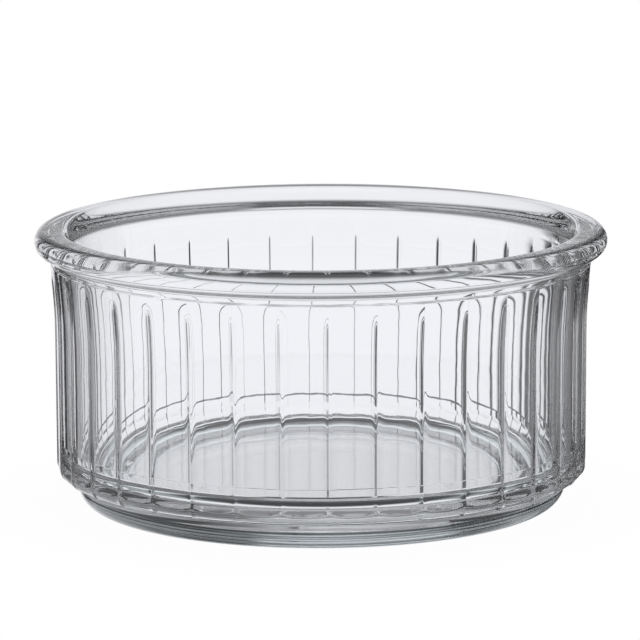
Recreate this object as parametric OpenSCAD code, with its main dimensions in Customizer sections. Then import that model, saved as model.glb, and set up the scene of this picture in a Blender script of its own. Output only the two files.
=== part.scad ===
// Ramekin: a small straight-sided baking dish, pressed in one piece from clear toughened glass.
// A round rim overhangs the neck, flat flutes run round the wall, and the floor stands on a narrower
// foot. All sizes are in millimetres. The origin is on the table, under the centre of the dish.

/* [Overall] */
// Height from the table to the top of the rim
dish_h = 49.6; // [44:0.1:70]
// Outside diameter over the ridges between the flutes, at the foot of the wall
body_d = 94.4; // [80:0.2:130]
// How much the wall leans out on each side, in degrees
wall_draft = 0.2; // [0:0.1:1]

/* [Rim] */
// How far the rim stands out past the neck
rim_overhang = 2.85; // [2:0.05:4]
// Thickness of the round rim
rim_bead_d = 4.3; // [4:0.1:5.4]
// Radius in the corner under the rim
rim_fillet_r = 1; // [0.3:0.1:1.5]
// Radius of the lip, from the top of the rim down to the inside wall
lip_r = 4.1; // [2:0.1:4.7]

/* [Neck] */
// How far the neck stands out past the wall
neck_swell = 0.85; // [0.5:0.05:1.2]
// Drop from the top of the rim to where the wall starts to flare
flare_drop = 18.6; // [17:0.1:24]
// Radius of the flare on the ridges
flare_r = 70; // [50:1:80]

/* [Flutes] */
// Number of flutes round the wall
flute_count = 36; // [24:1:48]
// Width of the ridge left between two flutes
ridge_w = 0.6; // [0.3:0.1:1.2]
// Radius on which the flat of each flute runs out into the neck
flute_runout_r = 80; // [60:1:90]

/* [Inside] */
// Thickness of the wall at its foot, measured at the ridges
wall_t = 3.5; // [2.8:0.1:4.5]
// Height of the inside floor above the table
floor_z = 6.7; // [5:0.1:9]
// Radius of the hollow corner that rises from the floor to the wall
floor_corner_r = 7.5; // [7:0.1:12]
// How far that corner reaches in from the wall, less than its radius, so that it meets the wall in a crease
floor_corner_run = 6.3; // [4:0.1:6.9]

/* [Foot] */
// Height of the step between the wall and the foot
foot_h = 5; // [4:0.1:8]
// How far the foot is set in under the wall
foot_inset = 3.6; // [3:0.1:6]
// Radius round the lower edge of the foot
foot_edge_r = 3.6; // [2:0.1:4]
// Radius in the corner between the foot and the wall
foot_fillet_r = 0.5; // [0.2:0.1:0.6]
// Radius round the lower edge of the wall
wall_edge_r = 2.4; // [1:0.1:2.9]
// Width of the ring that touches the table
foot_ring_w = 1.9; // [1:0.1:5]
// Depth of the hollow under the floor
hollow_h = 0.4; // [0.2:0.1:1.5]
// Width of the slope between the hollow and the ring
hollow_run = 4.7; // [2:0.1:8]

/* [Hidden] */

$fn = 144;
overlap = 1;

// Joints of the section are kept on thousandths, so that neighbouring shapes share their corners
function fine(v) = round(v * 1000) / 1000;

// Wall line over the ridges, from its lower edge up to the flare
wall_foot_r = body_d / 2;
edge_z = foot_h + wall_edge_r;
edge_x = wall_foot_r - wall_edge_r;
flare_z = dish_h - flare_drop;
lean = tan(wall_draft);
wall_top_r = fine(wall_foot_r + (flare_z - edge_z) * lean);
neck_r = wall_top_r + neck_swell;

// Rim bead, and the small fillet in the corner under it
bead_r = rim_bead_d / 2;
bead_c = [neck_r + rim_overhang - bead_r, dish_h - bead_r];
fillet_z = fine(bead_c[1] - bead_r - rim_fillet_r * 0.8);

// Inside of the dish: the bore leans like the wall, with the lip over it and the hollow corner under it
lip_z = dish_h - lip_r;
bore_foot_r = wall_foot_r - wall_t;
bore_top_r = fine(bore_foot_r + (lip_z - edge_z) * lean);
bore_low_z = floor_z - overlap;
bore_low_r = fine(bore_foot_r + (bore_low_z - edge_z) * lean);
corner_x = bore_foot_r - floor_corner_run;
corner_z = floor_z + floor_corner_r;
room_top = dish_h + overlap;

// Foot under the wall, and the hollow under the floor
foot_r = wall_foot_r - foot_inset;
foot_x = foot_r - foot_edge_r;
foot_fillet_z = foot_h - foot_fillet_r;
ring_in_r = foot_x - foot_ring_w;
hollow_in_r = ring_in_r - hollow_run;

// Flutes: each is a flat that leaves a narrow ridge, and runs out on an arc into the neck
flute_pitch = 360 / flute_count;
flute_half = flute_pitch / 2 - asin(ridge_w / body_d);
flute_low_z = foot_h - overlap;
flat_low_r = fine((wall_foot_r - (edge_z - flute_low_z) * lean) * cos(flute_half));
flat_top_r = fine(wall_top_r * cos(flute_half));
crown_rise = sqrt(pow(flute_runout_r, 2) - pow(flute_runout_r - (neck_r - flat_top_r), 2));
flute_top = crown_rise + 0.4;
flute_reach = neck_r - flat_low_r + overlap;

// Part of a disc that lies in a box, both placed from the same corner
module disc_part(centre, radius, low, size) {
    intersection() {
        translate(centre) circle(r = radius);
        translate(low) square(size);
    }
}

// Straight-edged part of the section, with square notches where the rounded edges go
module dish_block() {
    polygon([
        [0, hollow_h],
        [hollow_in_r, hollow_h],
        [ring_in_r, 0],
        [foot_x, 0],
        [foot_x, foot_edge_r],
        [foot_r, foot_edge_r],
        [foot_r, foot_h],
        [edge_x, foot_h],
        [edge_x, edge_z],
        [wall_foot_r, edge_z],
        [wall_top_r, flare_z],
        [neck_r, flare_z],
        [neck_r, bead_c[1]],
        [bead_c[0], bead_c[1]],
        [bead_c[0], dish_h],
        [0, dish_h]
    ]);
    disc_part([foot_x, foot_edge_r], foot_edge_r, [foot_x, 0], foot_edge_r);
    disc_part([edge_x, edge_z], wall_edge_r, [edge_x, foot_h], wall_edge_r);
}

// Room inside the dish: the bore, opened to a square notch for the lip, over the floor and its hollow corner
module dish_room() {
    intersection() {
        polygon([
            [0, bore_low_z],
            [bore_low_r, bore_low_z],
            [bore_top_r, lip_z],
            [bore_top_r + lip_r, lip_z],
            [bore_top_r + lip_r, room_top],
            [0, room_top]
        ]);
        union() {
            translate([0, floor_z]) square([corner_x, room_top]);
            translate([corner_x, corner_z]) circle(r = floor_corner_r);
            translate([0, corner_z]) square([wall_foot_r + rim_overhang, room_top]);
        }
    }
}

// Half section of the dish
module dish_section() {
    difference() {
        dish_block();
        disc_part([wall_top_r + flare_r, flare_z], flare_r, [wall_top_r, flare_z], [neck_swell + overlap, flare_drop]);
        dish_room();
    }
    disc_part([bore_top_r + lip_r, lip_z], lip_r, [bore_top_r, lip_z], lip_r);
    translate(bead_c) circle(r = bead_r);
    difference() {
        translate([foot_r, foot_fillet_z]) square(foot_fillet_r);
        translate([foot_r + foot_fillet_r, foot_fillet_z]) circle(r = foot_fillet_r);
    }
    difference() {
        translate([neck_r - overlap, fillet_z]) square([overlap + rim_fillet_r, bead_c[1] - fillet_z]);
        translate([neck_r + rim_fillet_r, fillet_z]) circle(r = rim_fillet_r);
    }
}

// One flute cutter, on the +X side, with its flat facing the axis
module flute_cutter() {
    width = 2 * body_d * sin(flute_pitch / 2);
    rotate([90, 0, 0]) linear_extrude(width, center = true) {
        polygon([
            [flat_low_r, flute_low_z],
            [flat_low_r + flute_reach, flute_low_z],
            [flat_low_r + flute_reach, flare_z],
            [flat_top_r, flare_z]
        ]);
        disc_part([flat_top_r + flute_runout_r, flare_z], flute_runout_r, [flat_top_r, flare_z],
            [flat_low_r + flute_reach - flat_top_r, flute_top]);
    }
}

// The whole dish, pressed as one piece of glass
module glass_dish() {
    color([0.86, 0.9, 0.9, 0.45]) difference() {
        rotate_extrude() dish_section();
        for (i = [0 : flute_count - 1]) rotate(-90 + (i + 0.5) * flute_pitch) flute_cutter();
    }
}

glass_dish();
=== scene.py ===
# Ramekin pressed in clear glass, standing on a pale table
import math
import bpy
import bmesh
from mathutils import Matrix, Vector, noise


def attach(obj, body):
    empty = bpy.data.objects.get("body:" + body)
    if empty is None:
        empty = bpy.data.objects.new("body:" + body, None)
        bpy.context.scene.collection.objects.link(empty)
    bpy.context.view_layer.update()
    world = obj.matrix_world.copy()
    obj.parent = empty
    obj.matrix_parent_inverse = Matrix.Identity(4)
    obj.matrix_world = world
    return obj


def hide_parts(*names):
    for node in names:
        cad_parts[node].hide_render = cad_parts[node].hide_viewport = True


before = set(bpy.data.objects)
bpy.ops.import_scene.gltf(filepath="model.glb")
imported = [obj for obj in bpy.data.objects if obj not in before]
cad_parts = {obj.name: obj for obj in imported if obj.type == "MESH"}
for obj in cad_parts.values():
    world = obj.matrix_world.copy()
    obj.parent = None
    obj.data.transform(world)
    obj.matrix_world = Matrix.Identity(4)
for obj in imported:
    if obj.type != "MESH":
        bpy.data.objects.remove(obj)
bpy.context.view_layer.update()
scene = bpy.context.scene
mm = 0.001
print("frame loaded")


# sockets as values, so that shader maths reads as a sum
class Wire:
    def __init__(self, tree, out=None):
        self.tree, self.out = tree, out

    def node(self, kind, setup=None, ins=None, pick=0):
        made = self.tree.nodes.new("ShaderNode" + kind)
        for key, value in (setup or {}).items():
            setattr(made, key, value)
        for key, value in (ins or {}).items():
            if isinstance(value, Wire):
                self.tree.links.new(value.out, made.inputs[key])
            else:
                made.inputs[key].default_value = value
        return Wire(self.tree, made.outputs[pick] if made.outputs else None)

    def maths(self, operation, first, second):
        return self.node("Math", {"operation": operation}, {0: first, 1: second})

    def __add__(self, other): return self.maths("ADD", self, other)
    def __radd__(self, other): return self.maths("ADD", other, self)
    def __sub__(self, other): return self.maths("SUBTRACT", self, other)
    def __rsub__(self, other): return self.maths("SUBTRACT", other, self)
    def __mul__(self, other): return self.maths("MULTIPLY", self, other)
    def __rmul__(self, other): return self.maths("MULTIPLY", other, self)
    def __abs__(self): return self.maths("ABSOLUTE", self, 0)

    def step(self, start, end):  # smooth 0 to 1 between two values, either way round
        return self.node("MapRange", {"interpolation_type": "SMOOTHSTEP"}, {0: self, 1: start, 2: end})

    def past(self, place, soft):  # smooth 0 to 1 across one value, or 1 to 0 where soft is negative
        return self.step(place - soft, place + soft)


def emptyTree(owner):  # the cleared nodes of a material or world
    owner.use_nodes = True
    owner.node_tree.nodes.clear()
    return Wire(owner.node_tree)


# draws one half section, corner by corner, as a chain of edges
class Pen:
    def __init__(self, bm, x, z):
        self.bm, self.tip = bm, bm.verts.new((x * mm, 0, z * mm))

    def line(self, *corners):
        for x, z in corners:
            self.tip = bmesh.ops.extrude_vert_indiv(self.bm, verts=[self.tip])["verts"][0]
            self.tip.co = (x * mm, 0, z * mm)

    def arc(self, x, z, turn, steps, wide=1):  # positive turns run anticlockwise
        drawn = len(self.bm.verts)
        swept = bmesh.ops.spin(self.bm, geom=[self.tip], cent=(x * mm, 0, z * mm), axis=(0, -1, 0),
            angle=math.radians(turn), steps=steps)
        self.tip = [v for v in swept["geom_last"] if isinstance(v, bmesh.types.BMVert)][0]
        bmesh.ops.scale(self.bm, vec=(wide, 1, 1), space=Matrix.Translation((-x * mm, 0, 0)),
            verts=self.bm.verts[:][drawn:])


def spinUp(bm, angle, steps, **how):  # turns all there is about the upright axis
    bmesh.ops.spin(bm, geom=bm.verts[:] + bm.edges[:] + bm.faces[:], cent=(0, 0, 0), axis=(0, 0, 1),
        angle=angle, steps=steps, **how)


def settle(bm, name):  # a smooth object from a finished bmesh
    bmesh.ops.recalc_face_normals(bm, faces=bm.faces)
    for face in bm.faces:
        face.smooth = True
    mesh = bpy.data.meshes.new(name)
    bm.to_mesh(mesh)
    bm.free()
    made = bpy.data.objects.new(name, mesh)
    scene.collection.objects.link(made)
    return made


def between(low, high, value):  # 0 to 1 where a value lies between two others
    return min(1, max(0, (value - low) / (high - low)))


# the dish, in millimetres; heights are above the table, radii from the axis
dish = dict(
    height=49.6, wallR=47.2, wallLean=0.2, wallEdgeR=2.4,
    rimOut=2.83, rimR=2.15, rimCornerR=1, lipW=3, lipH=5.1,
    neckOut=0.85, flareZ=31, flareR=70,
    # ridges stand a little proud and die out below the neck; blend softens the flats near their crowns
    flutes=36, runoutR=80, ridgeWidth=0.6, ridgeUp=0.17, ridgeSpread=0.38, ridgeFade=2,
    blend=(0.02, 0.25), blendZ=(36, 42),
    wallT=3.6, floorZ=6.7, cornerR=7.5, cornerRun=6.4, creaseR=0.15, creaseZ=10,
    footH=5, footIn=3.6, footEdgeR=3.6, footTopR=0.5, ringW=1.9, hollowH=0.4, hollowRun=4.7,
    # groove at the crowns and ledge over the crease, each with its profile in shares of its size: up, in
    crownZ=43.75, crownW=0.15, crownDeep=0.3, crownShape=((-0.5, 0.6), (0, 1), (0.5, 0.6), (1, 0)),
    ledgeZ=11.2, ledgeH=0.09, ledgeIn=0.28, ledgeShape=((1.5, 0), (0.5, 0), (0, 0.5), (-0.5, 1), (-1.5, 1)),
    # how both wander, and come and go; the sizes are scales of noise
    marks=dict(wander=0.12, wanderSize=90, wanderFine=0.6, fineSize=450, fill=0.1, fillBy=0.9, fillSize=240,
        fillFine=0.7, fillFrom=Vector((5, 0, 0)), ledgeReach=1.6, crownReach=1.1),
    # rows of the mesh: where they lie, how many go round each bend, and how near a point counts as on a line
    rows=dict(under=(12, 24), slopeGap=0.3, slope=(0, 0.12, 0.25, 0.4, 0.5, 0.6, 0.75, 0.88, 1),
        edge=(0.6, 2), wall=20, flare=(34, 36.5, 38.5), crownFrom=39.5, crown=18, bore=(38, 25), floor=0.6,
        footEdge=12, footTop=5, wallEdge=10, rimCorner=5, rim=24, lip=18, crease=4, corner=14,
        flute=18, crowd=0.85, slack=0.01, above=0.1, skin=0.5, weld=2e-7, sliver=1e-8))


def makeDish():
    d, rows, m = dish, dish["rows"], dish["marks"]
    lean = math.tan(math.radians(d["wallLean"]))
    edgeX, edgeZ = d["wallR"] - d["wallEdgeR"], d["footH"] + d["wallEdgeR"]
    wallTop = d["wallR"] + (d["flareZ"] - edgeZ) * lean
    neckR = wallTop + d["neckOut"]
    neckZ = d["flareZ"] + math.sqrt(d["flareR"] ** 2 - (d["flareR"] - d["neckOut"]) ** 2)
    rimX, rimZ = neckR + d["rimOut"] - d["rimR"], d["height"] - d["rimR"]
    footR = d["wallR"] - d["footIn"]
    footX = footR - d["footEdgeR"]
    footTopZ = d["footH"] - d["footTopR"]
    ringIn = footX - d["ringW"]
    boreR = d["wallR"] - d["wallT"]

    def ridgeLine(z):
        if z <= d["flareZ"]:
            return d["wallR"] + (z - edgeZ) * lean
        if z >= neckZ:
            return neckR
        return wallTop + d["flareR"] - math.sqrt(d["flareR"] ** 2 - (z - d["flareZ"]) ** 2)

    def boreLine(z):
        return boreR + (z - edgeZ) * lean

    bm = bmesh.new()
    pen = Pen(bm, 0, d["hollowH"])
    # hollow under the floor, then the ring and the rounded foot
    pen.line(*[(r, d["hollowH"]) for r in (*rows["under"], ringIn - d["hollowRun"] - rows["slopeGap"])])
    pen.line(*[(ringIn - d["hollowRun"] * (1 - k), d["hollowH"] * (1 - (3 - 2 * k) * k * k)) for k in rows["slope"]])
    pen.line((footX, 0))
    pen.arc(footX, d["footEdgeR"], 90, rows["footEdge"])
    pen.line((footR, footTopZ))
    pen.arc(footR + d["footTopR"], footTopZ, -90, rows["footTop"])
    # wall: the lower edge, up the ridge line to the neck
    pen.line((edgeX, d["footH"]))
    pen.arc(edgeX, edgeZ, 90, rows["wallEdge"])
    wallRows = [edgeZ + up for up in rows["edge"]] + [rows["wall"], d["flareZ"], *rows["flare"]]
    crownRise = d["crownZ"] - d["crownW"] - rows["crownFrom"]
    wallRows += [rows["crownFrom"] + crownRise * i / rows["crown"] for i in range(rows["crown"] + 1)]
    pen.line(*[(ridgeLine(z), z) for z in wallRows])
    # fine groove where the flutes run out, then the plain neck
    pen.line(*[(neckR - d["crownDeep"] * deep, d["crownZ"] + d["crownW"] * up) for up, deep in d["crownShape"]])
    cornerX = neckR + d["rimCornerR"]
    cornerZ = rimZ - math.sqrt((d["rimR"] + d["rimCornerR"]) ** 2 - (cornerX - rimX) ** 2)
    pen.line((neckR, (d["crownZ"] + cornerZ) / 2), (neckR, cornerZ))
    # small corner under the rim, then the round rim and its lip
    meet = math.degrees(math.atan2(rimZ - cornerZ, rimX - cornerX))
    pen.arc(cornerX, cornerZ, meet - 180, rows["rimCorner"])
    pen.arc(rimX, rimZ, 270 - meet, rows["rim"])
    lipZ = d["height"] - d["lipH"]
    lipX = boreLine(lipZ) + d["lipW"]
    pen.line((lipX, d["height"]))
    pen.arc(lipX, lipZ, 90, rows["lip"], d["lipW"] / d["lipH"])
    # bore, and the low ledge that the plunger left in it
    pen.line(*[(boreLine(z), z) for z in rows["bore"]])
    ledgeR = boreLine(d["ledgeZ"])
    pen.line(*[(ledgeR - d["ledgeIn"] * inward, d["ledgeZ"] + d["ledgeH"] * up) for up, inward in d["ledgeShape"]])
    # the crease is a small round that touches the bore and the hollow corner of the floor
    sweepX, sweepZ = boreR - d["cornerRun"], d["floorZ"] + d["cornerR"]
    sweepR = d["cornerR"] - d["creaseR"]
    foldX = boreLine(d["creaseZ"]) - d["ledgeIn"]
    creaseX = foldX - d["creaseR"]
    fold = math.degrees(math.asin((creaseX - sweepX) / sweepR))
    creaseZ = sweepZ - sweepR * math.cos(math.radians(fold))
    pen.line((foldX, creaseZ))
    pen.arc(creaseX, creaseZ, fold - 90, rows["crease"])
    pen.arc(sweepX, sweepZ, -fold, rows["corner"])
    pen.line((sweepX * rows["floor"], d["floorZ"]), (0, d["floorZ"]))
    print("section points", len(bm.verts), "crease at", round(creaseZ, 2))

    # one flute from ridge to ridge, with its rows crowded at the ridges
    pitch = 2 * math.pi / d["flutes"]
    half = pitch / 2 - math.asin(d["ridgeWidth"] / d["wallR"] / 2)
    spinUp(bm, pitch, rows["flute"])
    for v in bm.verts:
        r, z = math.hypot(v.co.x, v.co.y) / mm, v.co.z / mm
        if r < rows["slack"]:
            continue
        u = math.atan2(v.co.y, v.co.x) / pitch - 0.5
        phi = u + rows["crowd"] * math.sin(2 * math.pi * u) / (2 * math.pi)
        outside = d["footH"] - rows["slack"] < z < cornerZ + rows["above"] and r > edgeX - rows["slack"]
        if outside and z > edgeZ:
            outside = r > ridgeLine(z) - rows["skin"]
        if outside:
            if z > d["flareZ"]:
                flat = wallTop * math.cos(half) + d["runoutR"] - math.sqrt(d["runoutR"] ** 2 - (z - d["flareZ"]) ** 2)
            else:
                flat = ridgeLine(max(z, edgeZ)) * math.cos(half)
            ease = between(*d["blendZ"], z)
            near = d["blend"][0] + (d["blend"][1] - d["blend"][0]) * ease * ease * (3 - 2 * ease)
            cut = flat / math.cos(phi * pitch)
            r = min(r, cut) - max(0, near - abs(r - cut)) ** 2 / near / 4
            off = (0.5 - abs(phi)) * pitch * r
            r += d["ridgeUp"] * math.exp(-(off / d["ridgeSpread"]) ** 2) * between(neckZ, neckZ - d["ridgeFade"], z)
        at = (phi + 0.5) * pitch
        v.co = (r * mm * math.cos(at), r * mm * math.sin(at), z * mm)
    turns = d["flutes"] - 1
    spinUp(bm, pitch * turns, turns, use_duplicate=True)
    bmesh.ops.remove_doubles(bm, verts=bm.verts, dist=rows["weld"])
    bmesh.ops.dissolve_degenerate(bm, dist=rows["sliver"], edges=bm.edges)

    # the ledge and the groove wander a little and come and go
    for v in bm.verts:
        r, z = math.hypot(v.co.x, v.co.y) / mm, v.co.z / mm
        onLedge = abs(z - d["ledgeZ"]) < d["ledgeH"] * m["ledgeReach"] and abs(r - boreR) < rows["skin"]
        onGroove = abs(z - d["crownZ"]) < d["crownW"] * m["crownReach"] and abs(r - neckR) < rows["skin"]
        if onLedge or onGroove:
            fine = noise.noise(v.co * m["fineSize"])
            drift = noise.noise(v.co * m["wanderSize"]) + m["wanderFine"] * fine
            fill = m["fill"] - m["fillBy"] * noise.noise(v.co * m["fillSize"] + m["fillFrom"]) - m["fillFine"] * fine
            if onGroove and v.co.y > 0:  # no groove on the back half
                fill = 1
            plain = neckR if onGroove else boreLine(z)
            keep = 1 - (r - plain) / r * fill
            v.co = (v.co.x * keep, v.co.y * keep, v.co.z + drift * m["wander"] * mm)
    made = settle(bm, "ramekinGlass")
    print("dish modelled, triangles", sum(len(f.vertices) - 2 for f in made.data.polygons))
    return made


# clear soda glass with a trace of blue-green; R, Z and W are places and widths in metres, each from none to full
glass = dict(
    ior=1.5, tint=(0.988, 0.996, 0.998, 1),
    # slight waves left by the press, calmer round the floor, and a faint uneven dullness
    waveSize=190, waveDetail=1.5, waveRough=0.45, waveUp=0.00002, calm=0.7, calmZ=(0.0105, 0.0072),
    skin=0.012, skinSize=900, skinDetail=3, skinRough=0.6, skinFrom=(0.5, 0.8),
    # duller glass under the floor, dimmed there as painted shade for the shaded table beneath; glass round the foot
    # tinted blue-green and darkened as painted shade; and painted shadow on the ring that touches the table
    under=0.02, underZ=(0.0009, 0.0004), floor=(0.86, 0.875, 0.88, 1),
    foot=(0.64, 0.73, 0.74, 1), footR=(0.0365, 0.0395), footZ=(0.0046, 0.0026),
    ring=(0.1, 0.12, 0.12, 1), ringZ=(0.00006, 0.00002),
    # a dark line painted round the foot as painted shade, for the shaded contact seen through the glass, and painted
    # shade along the ledge at the back, uneven as the ledge is
    footShadeLine=(0.03, 0.04, 0.04, 1), footShadeLineR=(0.0395, 0.0405), footShadeLineZ=0.00322, footShadeLineW=(0.0003, 0.0001),
    edge=(0.12, 0.13, 0.14, 1), edgeR=(0.0446, 0.0442), edgeZ=0.01135, edgeW=(0.00024, 0.00008), edgeY=(0, 0.01),
    driftSize=300, driftDetail=2, driftUp=0.0003)


def makeGlass():
    g = glass
    mat = bpy.data.materials.new("clearGlass")
    w = emptyTree(mat)
    place = w.node("TexCoord", pick=3)  # object coordinates
    deep, height = [w.node("SeparateXYZ", None, {0: place}, i) for i in (1, 2)]
    flat = w.node("VectorMath", {"operation": "MULTIPLY"}, {0: place, 1: (1, 1, 0)})
    away = w.node("VectorMath", {"operation": "LENGTH"}, {0: flat}, 1)
    wave = w.node("TexNoise", None, {"Vector": place, "Scale": g["waveSize"], "Detail": g["waveDetail"],
        "Roughness": g["waveRough"]})
    skin = w.node("TexNoise", None, {"Vector": place, "Scale": g["skinSize"], "Detail": g["skinDetail"],
        "Roughness": g["skinRough"]})
    drift = w.node("TexNoise", None, {"Vector": place, "Scale": g["driftSize"], "Detail": g["driftDetail"]})
    ripple = wave * (1 - height.step(*g["calmZ"]) * g["calm"])
    bump = w.node("Bump", None, {"Strength": 1, "Distance": g["waveUp"], "Height": ripple})
    # painted shade: the underside is dimmed for the shaded table seen through it, beside its real dullness
    under = height.step(*g["underZ"])
    rough = skin.step(*g["skinFrom"]) * g["skin"] + under * g["under"]
    # painted shade: the foot darkened for the shaded table seen through it, with the glass's own blue-green
    foot = away.step(*g["footR"]) * height.step(*g["footZ"])
    # painted shadow where the ring touches the table
    ring = height.step(*g["ringZ"])
    # painted shade: a dark line round the foot for the shaded contact seen through the glass
    footShadeLine = away.step(*g["footShadeLineR"]) * abs(height - g["footShadeLineZ"]).step(*g["footShadeLineW"])
    # painted shade: a dark line along the ledge at the back, standing for darkness the step bends in
    edge = abs(height - g["edgeZ"] + drift * g["driftUp"]).step(*g["edgeW"])
    edge = edge * away.step(*g["edgeR"]) * deep.step(*g["edgeY"])
    tone = g["tint"]
    for share, shade in ((under, "floor"), (foot, "foot"), (ring, "ring"), (footShadeLine, "footShadeLine"), (edge, "edge")):
        tone = w.node("Mix", {"data_type": "RGBA"}, {0: share, 6: tone, 7: g[shade]}, 2)
    shader = w.node("BsdfPrincipled", None, {"Base Color": tone, "Roughness": rough, "IOR": g["ior"],
        "Transmission Weight": 1, "Normal": bump})
    w.node("OutputMaterial", None, {"Surface": shader})
    print("glass mixed")
    return mat


ramekin = makeDish()
ramekin.data.materials.append(makeGlass())
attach(ramekin, "root")
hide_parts("glass_dish")

# pale table that curves up into a backdrop all round, in metres, with a faint painted shadow close to the dish
table = dict(flatR=2.4, coveR=1.2, coveRows=16, wallH=3, turns=96, weld=1e-6,
    glow=1.0, shade=0.015, shadeR=(0.043, 0.075))


def makeTable():
    flatR, coveR, wallH = [table[size] / mm for size in ("flatR", "coveR", "wallH")]
    bm = bmesh.new()
    pen = Pen(bm, 0, 0)
    pen.line((flatR, 0))
    pen.arc(flatR, coveR, 90, table["coveRows"])
    pen.line((flatR + coveR, wallH))
    spinUp(bm, 2 * math.pi, table["turns"], use_merge=True)
    bmesh.ops.remove_doubles(bm, verts=bm.verts, dist=table["weld"])
    made = settle(bm, "paleTable")
    mat = bpy.data.materials.new("paleTable")
    w = emptyTree(mat)
    away = w.node("VectorMath", {"operation": "LENGTH"}, {0: w.node("TexCoord", pick=3)}, 1)
    # painted shadow: the table darkens a little close to the dish
    level = table["glow"] - (1 - away.step(*table["shadeR"])) * table["shade"]
    tone = w.node("CombineColor", None, {0: level, 1: level, 2: level})
    w.node("OutputMaterial", None, {"Surface": w.node("Emission", None, {"Color": tone})})
    made.data.materials.append(mat)
    # the glass is lit by the surround alone, so its edges draw themselves
    made.visible_transmission = made.visible_glossy = made.visible_diffuse = made.visible_shadow = False
    print("table laid")


makeTable()

# soft surround, in degrees: turn is 0 behind the dish and positive to the right, rise is 0 at the horizon
surround = dict(
    # bright sweep behind the dish, dark flags close beside it, grey flanks, then light further round and low down
    bright=0.935, cool=(0.98, 0.98, 1.017, 1), sweepTurn=((-24, -18), (14, 9)), middle=10,
    flag=0.03, flagTurn=(-35, 25), flagSoft=3, flanks=(0.35, 0.16),
    beyond=0.8, beyondTurn=68, beyondSoft=8, ground=0.8, groundRise=(-15, -22), groundTilt=10,
    # dark pit low behind and before the dish, and straight below it
    pit=0.08, pitTurn=(55, 127), pitSoft=8, pitRise=(-34, -51), deep=0.03, deepRise=(-70, -76),
    # the sweep ends in an arch under a dim ceiling that has a dark shelf at its foot and a light at its top
    archTurn=25, archTilt=0.3, archRise=(1, 21), ceiling=(0.22, 0.24), ceilingTurn=(45, 65),
    shelf=0.02, shelfTurn=((12, 22), (76, 60)), shelfRise=(24, 18), lamp=0.8, lampRise=73, lampSoft=4)


def blend(start, end, share):
    return start + share * (end - start)


def makeSurround():
    s = surround
    scene.world = bpy.data.worlds.new("surround")
    w = emptyTree(scene.world)
    way = w.node("TexCoord", pick=0)  # in a world, the direction of the ray
    axes = [w.node("SeparateXYZ", None, {0: way}, i) for i in range(3)]
    turn = w.maths("ARCTAN2", axes[0], axes[1]) * math.degrees(1)
    rise = w.maths("ARCSINE", axes[2], 0) * math.degrees(1)
    aside = abs(turn)
    right = turn.past(0, s["middle"])
    level = blend(*s["flanks"], right)
    flags = turn.past(s["flagTurn"][0], s["flagSoft"]) * turn.past(s["flagTurn"][1], -s["flagSoft"])
    level = blend(level, s["flag"], flags)
    level = blend(level, s["beyond"], aside.past(s["beyondTurn"], s["beyondSoft"]))
    level = blend(level, s["ground"], (rise + right * s["groundTilt"]).step(*s["groundRise"]))
    level = blend(level, s["bright"], turn.step(*s["sweepTurn"][0]) * turn.step(*s["sweepTurn"][1]))
    beside = aside.past(s["pitTurn"][0], s["pitSoft"]) * aside.past(s["pitTurn"][1], -s["pitSoft"])
    level = blend(level, s["pit"], (1 - beside) * rise.step(*s["pitRise"]))
    level = blend(level, s["deep"], rise.step(*s["deepRise"]))
    arch = rise + w.maths("MINIMUM", aside, s["archTurn"]) * s["archTilt"]
    ceiling = blend(*s["ceiling"], aside.step(*s["ceilingTurn"]))
    ceiling = blend(ceiling, s["lamp"], rise.past(s["lampRise"], s["lampSoft"]))
    shelf = aside.step(*s["shelfTurn"][0]) * aside.step(*s["shelfTurn"][1]) * rise.step(*s["shelfRise"])
    level = blend(level, blend(ceiling, s["shelf"], shelf), arch.step(*s["archRise"]))
    back = w.node("Background", None, {"Color": s["cool"], "Strength": level})
    w.node("OutputWorld", None, {"Surface": back})
    print("surround lit")


makeSurround()

# camera at the photograph's angle: metres, side in degrees, roll in radians, sensor and lens in millimetres
shot = dict(away=0.9328853, up=0.2020885, aim=0.0326064, side=1.59, roll=-0.0037,
    sensor=36, lens=298.852, shift=-0.0018, clip=(0.05, 50), bounces=40, glossyBounces=12)


def makeCamera():
    cam = bpy.data.cameras.new("shot")
    made = bpy.data.objects.new("shot", cam)
    scene.collection.objects.link(made)
    side = math.radians(shot["side"])
    spot = Vector((-shot["away"] * math.sin(side), -shot["away"] * math.cos(side), shot["up"]))
    look = (Vector((0, 0, shot["aim"])) - spot).to_track_quat("-Z", "Y").to_matrix().to_4x4()
    made.matrix_world = Matrix.Translation(spot) @ look @ Matrix.Rotation(shot["roll"], 4, "Z")
    cam.sensor_width, cam.lens, cam.shift_x = shot["sensor"], shot["lens"], shot["shift"]
    cam.clip_start, cam.clip_end = shot["clip"]
    scene.camera = made
    scene.view_settings.view_transform = "Standard"
    # light runs far inside the thick glass before it leaves
    scene.cycles.max_bounces = scene.cycles.transmission_bounces = shot["bounces"]
    scene.cycles.glossy_bounces = shot["glossyBounces"]
    print("camera set")


makeCamera()
